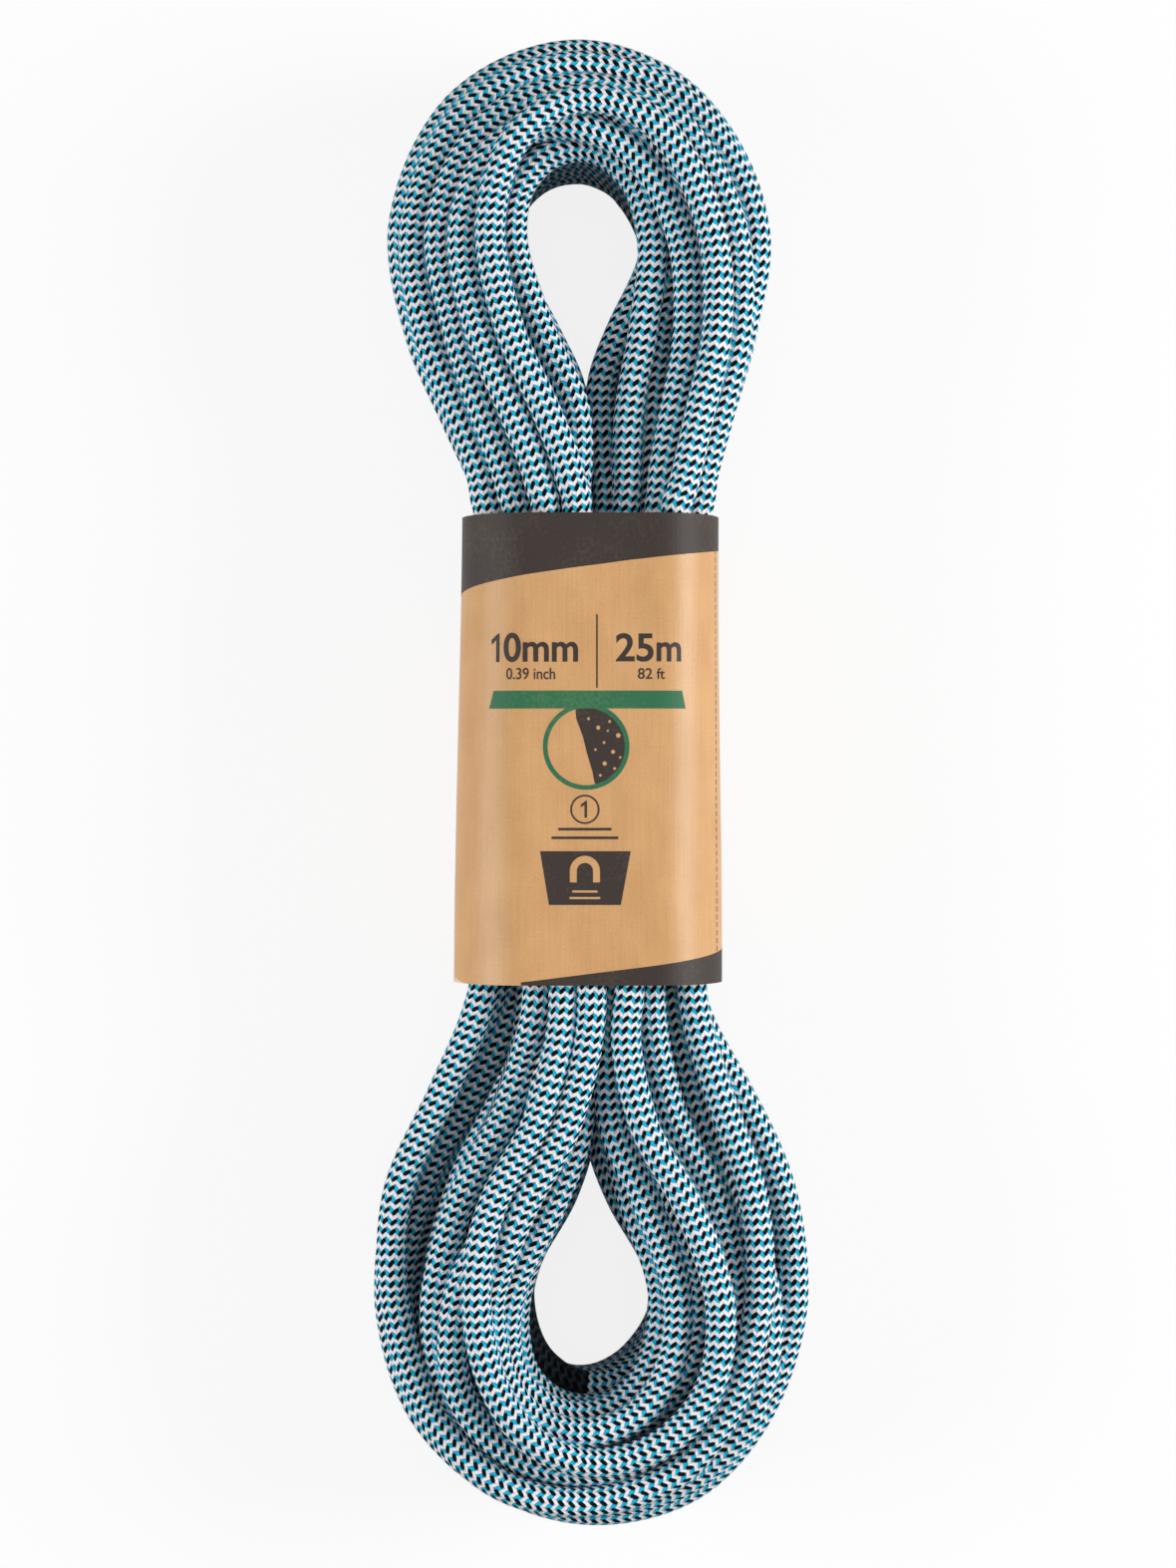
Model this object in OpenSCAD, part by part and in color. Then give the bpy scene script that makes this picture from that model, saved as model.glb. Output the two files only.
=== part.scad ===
// Dynamic climbing rope in a shop hank, held at the waist by a card sleeve.
// The hank lies on its back: +Z is its front, +Y its upper loops, +X its right side.

/* [Rope] */
// Diameter of the rope
rope_d = 10; // [9:0.1:10.5]
// Free space between neighbouring strands in the waist
strand_gap = 0.5; // [0.45:0.05:1]
// Thickness of the woven sheath
sheath_t = 1.1; // [0.8:0.1:1.4]

/* [Hank] */
// Length of the lower loops, from the waist to the innermost crown
lower_loop = 136; // [125:1:150]
// Length of the upper loops, from the waist to the innermost crown
upper_loop = 119; // [110:1:130]
// Width of the eye in the lower loops, between its innermost strands
eye_w = 46; // [42:1:54]

/* [Sleeve] */
// Length of the card sleeve along the hank
sleeve_l = 153; // [120:1:156]
// How far the sleeve can slide each way along the waist
sleeve_play = 6.5; // [3:0.5:10]
// Thickness of the card
card_t = 0.55; // [0.3:0.05:0.6]
// Free space between the card and the strands at the sides and front
card_gap = 1.5; // [1:0.1:3]
// Outer radius of the sleeve's bent corners
bend_r = 24; // [18:1:28]
// Width of the glued overlap on the underside
lap_w = 24; // [12:1:30]
// Thickness of the glue film
glue_t = 0.15; // [0.1:0.05:0.2]
// Width of the glue film
glue_w = 16; // [8:1:20]
// Bare card at each end of the glue film
glue_margin = 3; // [1:0.5:10]

/* [Rope ends] */
// Diameter of a cut end, drawn in a little by its shrunk band
end_d = 9.7; // [8.9:0.1:10]
// Length of a cut end, from the full rope to its sealed tip
end_l = 50; // [40:1:54]
// Length of the label band near the tip
band_l = 26; // [15:1:30]
// Thickness of the label band
band_t = 0.2; // [0.15:0.05:0.25]
// Length of the melted tip
seal_l = 2.5; // [1.5:0.5:4]
// Number of twisted strands in the outer layer of the core
core_outer = 9; // [7:1:9]

/* [Hidden] */

pitch = rope_d + strand_gap;        // step between neighbouring strands
sides = 6;                          // sides of the rope's section
rings = 24;                         // rings of the rope in each loop
columns = 4;                        // strands side by side in each half of the waist
loops = 24;                         // loops of the hank
waist_half = sleeve_l / 2 + sleeve_play;
fan = 7;                            // slant of the line where the strands leave the waist

// The rope starts at mid depth in the innermost columns and fills them outwards, one half of it
// towards the front and the other towards the back. Each number is a count of loops from the
// middle of the rope, at the middle of a half loop in which the rope steps out by one column.
steps_out = [3.75, 7.25, 9.75];
half_step = 0.25;
step_bow = 1.7;                     // how far a strand bows over its neighbour while it steps out
middle_level = 3.5;                 // levels of the inner columns in front of mid depth
outer_level = 2.5;                  // levels of the outer columns in front of mid depth

// Back of the hank: the crowns stand on the ground, and the waist leaves room for the sleeve
foot_cut = rope_d / 10;
crown_z = rope_d / 2 * cos(180 / sides) - foot_cut;
waist_z = rope_d / 2 + 2;

// One ring in each row: x and y of the innermost strand, the direction in which the columns spread
// from it, and their reach in strand pitches. y counts from the end of the waist.
function waist_row(side) = [side * pitch / 2, 0, side < 0 ? 180 - fan : fan, (columns - 1) / cos(fan)];
eye = eye_w / 46;
low = lower_loop / 136;
up = upper_loop / 119;
lower_left = [[-1, -136, -90, 3.35], [-15, -130.5, -121, 3.5], [-23, -115, -147, 4],
    [-23.5, -94, -172, 4.2], [-14, -68, 176.5, 4.8], [-6.6, -41, 170, 4.3]];
upper_left = [[-6.5, 29, -172.5, 3.75], [-16, 55, 178.5, 3.95], [-25.5, 85, 172, 3.5],
    [-20, 107.5, 136, 3.6]];
upper_right = [[-4.5, 117.5, 90, 3.15], [11, 109.5, 51, 3.2], [19.5, 85, 8.5, 3.25],
    [13.5, 56, 0, 3.35], [8, 29, -8.5, 3.3]];
lower_right = [[7, -41, 10.5, 4.2], [13.5, -68, 3.5, 4.8], [22.5, -94, -8, 4.3],
    [21.5, -115, -32, 4.1], [13.5, -130.5, -57, 3.6]];
function placed(rows, side, k) = [for (r = rows) [r.x * eye, side * waist_half + r.y * k, r[2], r[3]]];
function at_waist(row, side) = [row.x, side * waist_half, row[2] * (side < 0 ? 1 : -1), row[3]];
rows = concat(placed(lower_left, -1, low), [at_waist(waist_row(-1), -1), at_waist(waist_row(-1), 1)],
    placed(upper_left, 1, up), placed(upper_right, 1, up),
    [at_waist(waist_row(1), 1), at_waist(waist_row(1), -1)], placed(lower_right, -1, low));

function unit(v) = v / norm(v);
function clamp01(v) = min(max(v, 0), 1);
function smooth(v) = let (f = clamp01(v)) f * f * (3 - 2 * f);
function cross2(a, b) = a.x * b.y - a.y * b.x;

// Innermost and outermost strand of each ring
inner = [for (r = rows) [r.x, r.y]];
outer = [for (r = rows) [r.x, r.y] + r[3] * pitch * [cos(r[2]), sin(r[2])]];
function heading(line, i) = unit(line[(i + 1) % rings] - line[(i + rings - 1) % rings]);

// Column, level and bow of the rope, n loops from its middle
function stepped(n, k) = clamp01((n - steps_out[k] + half_step) / (2 * half_step));
function column(n) = smooth(stepped(n, 0)) + smooth(stepped(n, 1)) + smooth(stepped(n, 2));
function span(n, a, b) = min(max(n, a), b) - a;
function level(n) = span(n, 0, middle_level) - span(n, steps_out[0] + half_step, steps_out[1] - half_step)
    + span(n, steps_out[1] + half_step, steps_out[2] - half_step)
    - span(n, steps_out[2] + half_step, loops);
function bow(n) = sin(180 * stepped(n, 0)) - sin(180 * stepped(n, 1)) + sin(180 * stepped(n, 2));

// Where a loose strand lies in the width of its column: from 0, inside, to 1, outside
function place_in_column(n) =
    let (half_loop = floor(2 * n + 0.5),
         f = 2 * n + 0.5 - half_loop,
         col = round(column(half_loop / 2)),
         depth = (col < 1.5 ? middle_level : outer_level) - abs(level(half_loop / 2)),
         stray = 0.07 * sin(320 * half_loop),
         from = (floor(depth + 0.75) % 2 > 0 ? 0.93 : 0.07) + stray,
         to = (half_loop + col) % 3 == 1 ? 1 - from : from)
    from + (to - from) * smooth(f);

// Height of mid depth: low at both crowns, higher in the waist
function middle_z(i) =
    let (w = smooth(1.1 * pow(abs(sin(360 * i / rings)), 1.5)),
         crown = crown_z + middle_level * pitch,
         left = waist_z + middle_level * pitch + step_bow,
         right = waist_z + (middle_level - 0.21) * pitch)
    crown + w * ((i < rings / 2 ? left : right) - crown);

// Centre of the rope at ring k, counted from the middle of the rope
function rope_point(k) =
    let (i = ((k % rings) + rings) % rings,
         n = abs(k) / rings,
         side = k < 0 ? -1 : 1,
         reach = norm(outer[i] - inner[i]),
         out = unit(outer[i] - inner[i]),
         along = unit(heading(inner, i) + (heading(outer, i) - heading(inner, i)) * column(n) / 3),
         packed = pitch / abs(cross2(out, along)),
         room = (reach + packed) / columns,
         loose = 0.9 * max(room - packed, 0),
         off = column(n) * (room + (room - packed - loose) / 3) + place_in_column(n) * loose,
         xy = inner[i] + out * off)
    [xy.x, xy.y, middle_z(i) + side * (pitch * level(n) + step_bow * bow(n))];

// The rope from end a, at the back, to end b, at the front; both ends lie straight in the waist
first_ring = -11.75 * rings + 1;
last_ring = 12.25 * rings;
raw = [for (k = [first_ring:last_ring]) rope_point(k)];
function spread_of(v) = [min(v), max(v)];
x_span = spread_of([for (p = raw) p.x]);
y_span = spread_of([for (p = raw) p.y]);
centre = [(x_span[0] + x_span[1]) / 2, (y_span[0] + y_span[1]) / 2, 0];
loop_points = [for (p = raw) p - centre];
turns = (last_ring - first_ring + 1) / rings;

// A straight end runs on along the waist to where its cut end starts
dir_a = unit(rope_point(first_ring - 1) - rope_point(first_ring));
dir_b = unit(rope_point(last_ring + 1) - rope_point(last_ring));
function run_on(p, dir, y) = p + dir * (y - p.y) / dir.y;
end_a = run_on(loop_points[0], dir_a, end_l / 2 - centre.y);
end_b = run_on(loop_points[len(loop_points) - 1], dir_b, -end_l / 2 - centre.y);
path = concat([end_a], loop_points, [end_b]);
last = len(path) - 1;

function ahead(i) = unit(path[min(i + 1, last)] - path[min(i, last - 1)]);
function behind(i) = unit(path[max(i, 1)] - path[max(i - 1, 0)]);
function tube_ring(i) =
    let (t = unit(ahead(i) + behind(i)),
         side = unit(cross([0, 0, 1], t)),
         top = cross(t, side))
    [for (s = [0:sides - 1])
        let (p = path[i] + rope_d / 2 * (cos(360 * s / sides) * side + sin(360 * s / sides) * top))
        [p.x, p.y, max(p.z, 0)]];

// Length of the rope and the least gap between its strands
function sum(v) = v * [for (x = v) 1];
rope_length = sum([for (i = [1:last]) norm(path[i] - path[i - 1])]) + 2 * end_l;
function to_segment(p, a, b) = let (d = b - a) norm(p - a - d * clamp01((p - a) * d / (d * d)));
near_rings = 5;
least_gap = min([for (i = [0:last]) for (j = [0:last - 1])
    if (j > i + near_rings || j + 1 < i - near_rings) to_segment(path[i], path[j], path[j + 1])]) - rope_d;
echo(loops = turns, rope_length_mm = rope_length, least_gap_mm = least_gap);
echo(x_span = x_span, y_span = y_span);

module rope_hank() {
    count = len(path) * sides;
    walls = [for (i = [0:last - 1]) for (s = [0:sides - 1])
        let (a = i * sides + s, b = i * sides + (s + 1) % sides)
        each [[a, b, b + sides], [a, b + sides, a + sides]]];
    caps = [[for (s = [sides - 1:-1:0]) s], [for (s = [0:sides - 1]) count - sides + s]];
    color("whitesmoke")
        polyhedron([for (i = [0:last]) each tube_ring(i)], concat(walls, caps), convexity = 20);
}

// Cut ends of the rope: each is built along +X from the full rope and then laid in the waist
core_d = end_d - 2 * sheath_t;
core_r = core_d / 2;
strand_d = core_d * 0.225;
core_inner = 3;
core_plate = 1;
seal_r = 1;

module along_end(p, dir) {
    translate(p)
        rotate([0, 0, atan2(dir.y, dir.x)])
            rotate([0, -asin(dir.z), 0])
                rotate([0, 90, 0])
                    children();
}
module at_a() { along_end(end_a, dir_a) children(); }
module at_b() { along_end(end_b, dir_b) children(); }

// Woven sheath of a cut end
module sheath_end() {
    color("whitesmoke")
        difference() {
            cylinder(h = end_l - seal_l, d = end_d, $fn = 48);
            translate([0, 0, -1]) cylinder(h = end_l - seal_l + 2, d = core_d, $fn = 48);
        }
}

// Twisted core strands, melted together at the tip
module core_end() {
    color("white") {
        for (s = [0:core_outer - 1])
            rotate(360 * s / core_outer)
                translate([core_r - strand_d / 2 - 0.05, 0, 0])
                    cylinder(h = end_l - seal_l, d = strand_d, $fn = 16);
        for (s = [0:core_inner - 1])
            rotate(360 * s / core_inner)
                translate([strand_d * 0.6, 0, 0])
                    cylinder(h = end_l - seal_l, d = strand_d, $fn = 16);
        translate([0, 0, end_l - seal_l - core_plate])
            cylinder(h = core_plate, d = core_d, $fn = 48);
    }
}

// Clear label band, shrunk round the end
module end_band() {
    color("gainsboro")
        translate([0, 0, end_l - seal_l - band_l])
            difference() {
                cylinder(h = band_l, d = end_d + 2 * band_t, $fn = 48);
                translate([0, 0, -1]) cylinder(h = band_l + 2, d = end_d, $fn = 48);
            }
}

// Melted tip that closes the sheath over the core
module end_seal() {
    color("dimgray")
        translate([0, 0, end_l - seal_l])
            rotate_extrude($fn = 48) {
                square([end_d / 2, seal_l - seal_r]);
                square([end_d / 2 - seal_r, seal_l]);
                translate([end_d / 2 - seal_r, seal_l - seal_r]) circle(r = seal_r, $fn = 24);
            }
}

module sheath_end_a() { at_a() sheath_end(); }
module sheath_end_b() { at_b() sheath_end(); }
module core_end_a() { at_a() core_end(); }
module core_end_b() { at_b() core_end(); }
module end_band_a() { at_a() end_band(); }
module end_band_b() { at_b() end_band(); }
module end_seal_a() { at_a() end_seal(); }
module end_seal_b() { at_b() end_seal(); }

// Sleeve: a card strip bent round the waist, with its ends glued one over the other underneath
sleeve_foot = 0.2;
waist_edge = (columns - 0.5) * pitch + rope_d / 2;
sleeve_x = waist_edge + card_gap + card_t;
front_z = middle_z(rings / 4) + (middle_level - 0.2) * pitch + step_bow + rope_d / 2;
sleeve_top = front_z + card_gap + card_t;
lap_rise = card_t + glue_t;
bend_x = sleeve_x - bend_r;
top_z = sleeve_top - bend_r;
left_z = sleeve_foot + bend_r;
right_z = left_z + lap_rise;

// One side of the card, round the left, the front and the right of the waist
bend_steps = 20;
function bend(x, z, r, from) =
    [for (i = [0:bend_steps]) let (a = from - 90 * i / bend_steps) [x + r * cos(a), z + r * sin(a)]];
function card_side(r) = concat(bend(-bend_x, left_z, r, 270), bend(-bend_x, top_z, r, 180),
    bend(bend_x, top_z, r, 90), bend(bend_x, right_z, r, 0));
function reversed(list) = [for (i = [len(list) - 1:-1:0]) list[i]];

module along_sleeve(length) {
    translate([-centre.x, -centre.y, 0])
        rotate([90, 0, 0])
            linear_extrude(length, center = true)
                children();
}

module kraft_sleeve() {
    color("burlywood")
        along_sleeve(sleeve_l)
            polygon(concat(
                [[lap_w / 2, sleeve_foot]],
                card_side(bend_r),
                [[-lap_w / 2, sleeve_foot + lap_rise], [-lap_w / 2, sleeve_foot + lap_rise + card_t]],
                reversed(card_side(bend_r - card_t)),
                [[lap_w / 2, sleeve_foot + card_t]]));
}

module sleeve_glue() {
    color("ivory")
        along_sleeve(sleeve_l - 2 * glue_margin)
            translate([-glue_w / 2, sleeve_foot + card_t])
                square([glue_w, glue_t]);
}

rope_hank();
sheath_end_a();
sheath_end_b();
core_end_a();
core_end_b();
end_band_a();
end_band_b();
end_seal_a();
end_seal_b();
kraft_sleeve();
sleeve_glue();
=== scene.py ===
"""A 10 mm climbing rope, laid up as a hank on its back with a card sleeve round its waist."""
import math

import bpy
import numpy as np
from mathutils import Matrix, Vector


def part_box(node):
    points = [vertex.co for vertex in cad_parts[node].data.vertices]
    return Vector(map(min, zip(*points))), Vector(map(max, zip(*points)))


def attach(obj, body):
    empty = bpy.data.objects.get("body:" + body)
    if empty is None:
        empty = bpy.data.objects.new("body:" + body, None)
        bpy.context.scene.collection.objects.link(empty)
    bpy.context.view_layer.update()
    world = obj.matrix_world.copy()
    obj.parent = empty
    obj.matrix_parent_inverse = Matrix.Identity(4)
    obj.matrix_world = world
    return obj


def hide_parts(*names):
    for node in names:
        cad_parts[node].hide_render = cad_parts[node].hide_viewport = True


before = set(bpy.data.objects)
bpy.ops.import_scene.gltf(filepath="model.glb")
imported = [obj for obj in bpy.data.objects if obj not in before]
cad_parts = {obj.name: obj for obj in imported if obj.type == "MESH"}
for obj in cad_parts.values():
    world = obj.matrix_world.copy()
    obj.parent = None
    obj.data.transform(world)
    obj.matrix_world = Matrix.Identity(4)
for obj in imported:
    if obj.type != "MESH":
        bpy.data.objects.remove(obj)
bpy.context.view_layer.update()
MM = 0.001

# Camera: the hank lies on its back on the floor, and the camera looks straight down on it from a
# little over a metre, so that the hank fills the height of the frame.
CAMERA_AT = (-0.0018, -0.0012, 1.120)
VIEW_HEIGHT = 0.516                     # what the frame takes in at the front of the hank
FRONT_Z = 0.070
SENSOR = 36                             # millimetres, of a full frame
camera_data = bpy.data.cameras.new("camera")
camera_data.sensor_fit = "VERTICAL"
camera_data.sensor_height = SENSOR
camera_data.lens = SENSOR * (CAMERA_AT[2] - FRONT_Z) / VIEW_HEIGHT
camera_data.clip_start = 0.01
camera = bpy.data.objects.new("camera", camera_data)
camera.location = CAMERA_AT
bpy.context.collection.objects.link(camera)
bpy.context.scene.camera = camera


# Rope: one continuous length of braided nylon, sheath over core, coiled loop on loop and drawn in
# at the waist. It starts at mid depth by the eye and works outwards, one half of it towards the
# front and the other towards the back. A stretch at its middle is dyed black.
ROPE_D = 10 * MM
PITCH = ROPE_D + 0.5 * MM               # step between neighbouring strands
WAIST_HALF = 83 * MM
FAN = math.radians(7)                   # slant of the line where the strands leave the waist
RINGS = 24                              # places round a loop at which its shape is given
WAIST_RUNS = (6, 17)                    # the rings from which it runs straight through the waist
STEPS_OUT = (3.75, 7.25, 9.75)          # loops from the middle at which it steps out a column
STEP_BOW = 1.7 * MM
TOUCH = 9.9 * MM                        # how close two strands lie once they have settled
WAIST_TOP = 83.3 * MM                   # highest centre of a strand under the sleeve
TIGHTEST = 24 * MM                      # radius of its tightest bend
MIDDLE_LEVEL, OUTER_LEVEL = 3.5, 2.5    # levels of the inner and the outer columns
CROWN_Z = ROPE_D / 2
WAIST_Z = ROPE_D / 2 + 2 * MM
FIRST_LOOP, LAST_LOOP = -11.75 + 1 / RINGS, 12.25    # counted from the middle of the rope

# One ring in each row: x and y of the innermost strand in millimetres, y from the end of the
# waist, the direction in degrees in which the columns spread, and their reach in pitches.
LOWER_LEFT = [(-1, -136, -90, 3.35), (-15, -130.5, -121, 3.5), (-23, -115, -147, 4),
              (-23.5, -94, -172, 4.2), (-14, -68, 176.5, 4.8), (-6.6, -41, 170, 4.3)]
UPPER_LEFT = [(-6.5, 29, -172.5, 3.75), (-16, 55, 178.5, 3.95), (-25.5, 85, 172, 3.5),
              (-20, 107.5, 136, 3.6)]
UPPER_RIGHT = [(-4.5, 117.5, 90, 3.15), (11, 109.5, 51, 3.2), (19.5, 85, 8.5, 3.25),
               (13.5, 56, 0, 3.35), (8, 29, -8.5, 3.3)]
LOWER_RIGHT = [(7, -41, 10.5, 4.2), (13.5, -68, 3.5, 4.8), (22.5, -94, -8, 4.3),
               (21.5, -115, -32, 4.1), (13.5, -130.5, -57, 3.6)]


def eye_rows(rows, end):
    return [(x * MM, end * WAIST_HALF + y * MM, math.radians(a), reach) for x, y, a, reach in rows]


def waist_row(side, end):
    slant = (math.pi - FAN if side < 0 else FAN) * -end
    return [(side * PITCH / 2, end * WAIST_HALF, slant, 3 / math.cos(FAN))]


rings = np.array(
    eye_rows(LOWER_LEFT, -1) + waist_row(-1, -1) + waist_row(-1, 1) + eye_rows(UPPER_LEFT, 1)
    + eye_rows(UPPER_RIGHT, 1) + waist_row(1, 1) + waist_row(1, -1) + eye_rows(LOWER_RIGHT, -1))
inner_line = rings[:, :2]
outer_line = inner_line + PITCH * rings[:, 3:] * np.column_stack(
    [np.cos(rings[:, 2]), np.sin(rings[:, 2])])


def smooth(value):
    value = np.clip(value, 0, 1)
    return value * value * (3 - 2 * value)


def unit(vectors):
    return vectors / np.linalg.norm(vectors, axis=-1, keepdims=True)


def along_line(line, at):
    """Place and heading on the smooth closed line through the rings."""
    chord = np.linalg.norm(np.roll(line, -1, 0) - line, axis=1)
    slope = (np.roll(line, -1, 0) - np.roll(line, 1, 0)) / (chord + np.roll(chord, 1))[:, None]
    for run in WAIST_RUNS:
        slope[run] = slope[run + 1] = (line[run + 1] - line[run]) / chord[run]
    a = np.floor(at).astype(int) % len(line)
    b = (a + 1) % len(line)
    f = (at - np.floor(at))[:, None]
    h = chord[a][:, None]
    place = ((2 * f**3 - 3 * f**2 + 1) * line[a] + (f**3 - 2 * f**2 + f) * h * slope[a]
             + (3 * f**2 - 2 * f**3) * line[b] + (f**3 - f**2) * h * slope[b])
    heading = ((6 * f**2 - 6 * f) * (line[a] - line[b]) + (3 * f**2 - 4 * f + 1) * h * slope[a]
               + (3 * f**2 - 2 * f) * h * slope[b])
    return place, unit(heading)


def stepped(loops, step):
    return np.clip((loops - STEPS_OUT[step] + 0.25) / 0.5, 0, 1)


def column_at(loops):
    return sum(smooth(stepped(loops, step)) for step in range(3))


def level_at(loops):
    one, two, three = STEPS_OUT
    return (np.minimum(loops, MIDDLE_LEVEL) - np.clip(loops - one - 0.25, 0, two - one - 0.5)
            + np.clip(loops - two - 0.25, 0, three - two - 0.5) - np.maximum(loops - three - 0.25, 0))


STRAY = 0.07                             # how far it strays from the side of its column


def place_in_column(loops):
    """Where a loose strand lies in the width of its column: from 0, inside, to 1, outside."""
    half_loop = np.floor(2 * loops + 0.5)
    column = np.round(column_at(half_loop / 2))
    depth = np.where(column < 1.5, MIDDLE_LEVEL, OUTER_LEVEL) - np.abs(level_at(half_loop / 2))
    stray = STRAY * np.sin(np.radians(320) * half_loop)
    start = np.where(np.floor(depth + 0.75) % 2 > 0, 1 - STRAY, STRAY) + stray
    end = np.where((half_loop + column) % 3 == 1, 1 - start, start)
    return start + (end - start) * smooth(2 * loops + 0.5 - half_loop)


LOOSENESS = 0.9                          # share of the free room of a column that its strands take up
RIGHT_DROP = 0.21                        # how much lower the waist's right side lies, in pitches


def orderly(loops):
    """The even lay: inner line, direction of spread, its squareness, place along it and height."""
    away, side, turn = np.abs(loops), np.where(loops < 0, -1, 1), loops % 1
    inside, inner_heading = along_line(inner_line, turn * RINGS)
    outside, outer_heading = along_line(outer_line, turn * RINGS)
    out, column = unit(outside - inside), column_at(away)
    heading = unit(inner_heading + (outer_heading - inner_heading) * column[:, None] / 3)
    square = np.abs(out[:, 0] * heading[:, 1] - out[:, 1] * heading[:, 0])
    packed = PITCH / square
    room = (np.linalg.norm(outside - inside, axis=1) + packed) / 4
    loose = LOOSENESS * np.maximum(room - packed, 0)
    off = column * (room + (room - packed - loose) / 3) + place_in_column(away) * loose
    crown = CROWN_Z + MIDDLE_LEVEL * PITCH
    waist = np.where(turn < 0.5, WAIST_Z + MIDDLE_LEVEL * PITCH + STEP_BOW,
                     WAIST_Z + (MIDDLE_LEVEL - RIGHT_DROP) * PITCH)
    drawn = smooth(1.1 * np.abs(np.sin(2 * np.pi * turn)) ** 1.5)      # 1 in the waist, 0 at a crown
    bow = sum(sign * np.sin(np.pi * stepped(away, step)) for step, sign in enumerate((1, -1, 1)))
    height = crown + drawn * (waist - crown) + side * (PITCH * level_at(away) + STEP_BOW * bow)
    return inside, out, square, off, np.maximum(height, ROPE_D / 2)


# How far the inner and the outer edge really lie from the even lay, in millimetres, ring by ring
INNER_SHIFT = (-4.5, .5, 0, -2.2, -5.5, -4, -1.1, -.55, -2.5, -1, 5, 7.4, 8, 2.6, 2.8, -5, -8.5,
               -1.5, -1.1, -7, -4.8, .6, -1, -5)
OUTER_SHIFT = (-2, -2.5, -1.5, 0, -1.5, -5.5, -13, -8, -2, 0, -.5, 0, 0, -.5, -1, -3, -7, -8.5,
               -12.5, -5, -1, 0, -1, -1)

# The strands seen at the front: how far from the inner line each lies, in millimetres, from the
# ring that is given on, counted from the middle of the rope. They cross over and under each other.
FRONT = {
    -2: (0, -1, -4, -3.4, -.8, 1, 1, 0), 22: (0, .5, 2.5, 4, 3, 1, 0, -1),
    42: (0, 0, 0, 0, 0, -.5, 1.5, 5, 6, 3.2, 0, -2, -1, 0, -.5, 1.4, 1, 2.4, 2.2, .8,
         -.4, 3.2, 3.8, 5.4, -1, -.6, 5, 4.8, 5, 4.4, 5, 8, 9.5, 10, 9.5, 2.7, -4.6, 0, 9.5, 12,
         8.2, 9, 11.1, 14.5, 18.5, 27.2, 26.6, 22.5, 5.3, 9.4, 18, 18.8, 19.6, 15.8, 14, 12.1,
         12.3, 14.5, 19.7, 12, 3.7, 10.3, 19.7, 22, 17.5, 13.5, 3, 3.8, 9, 17.8, 18.5, 16, 13.5,
         19.5, 28.5, 25, 22, 19.5, 19, 22, 25.5, 21.5, 16, 12, 10, 10, 12, 13, 12, 11, 11, 10, 9,
         8, 12, 13.7),
    210: (21.5, 28.5, 33, 35.5, 37.2, 33, 30, 30.3, 30.5, 28.8, 30.3, 22.5, 12, 20.1, 29.5, 29.3,
          25.7, 21.5, 17.5, 21.5, 26.5, 34.5, 33, 29, 27, 36.3, 39.5, 32, 28.5, 27.5, 28, 32, 37.2,
          42.6, 51.5, 45.5, 31, 28.9, 36.9, 39.4, 34, 29.5, 25.1, 28.7, 34.5, 36, 33, 28, 25.5,
          43.5, 49.8, 44.3, 40.3, 37, 34.2, 34.8, 40.8, 44.8, 50.5, 45, 28, 28.2, 38.6, 42.3, 38.6,
          35.6, 32, 33, 35.3, 35.3, 31.6, 28),
}
LIFT = {  # from a loop on, by its rings: how many millimetres higher than in the even lay it starts
    3: {8: 1, 12: 4, 16: 0}, 5: {-4: -4, 0: 0}, 10: {-4: 4, 0: 4, 1: 2, 2: -6, 3: -8, 6: -3, 8: 0},
}


def through(values, at):
    """A smooth curve through values that are one ring apart."""
    values = np.asarray(values, float)
    low = np.clip(np.floor(at).astype(int), 0, len(values) - 2)
    f = np.clip(at - low, 0, 1)
    p, q, r, s = (values[np.clip(low + k, 0, len(values) - 1)] for k in (-1, 0, 1, 2))
    return 0.5 * (2 * q + (r - p) * f + (2 * p - 5 * q + 4 * r - s) * f**2
                  + (3 * q - p - 3 * r + s) * f**3)


PASSES, LAST_PASSES = 110, 20            # rounds in which it settles, and those at the last of them
FIRM, YIELDING = 0.35, 0.12             # how hard strands push: at the last the stiffness has its way
ROOF_FLAT, ROOF_BEND = 19.8 * MM, 18.45 * MM     # half width and bend of the sleeve's room
# How far each round takes a strand to its own place, aside and in height, how much further at the
# front, how much less a front strand gives way, and how far a bend straightens
PULL, PULL_UP, PULL_FRONT, FRONT_HOLDS, STRAIGHTENS = 0.04, 0.03, 0.10, 0.4, 0.24


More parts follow.
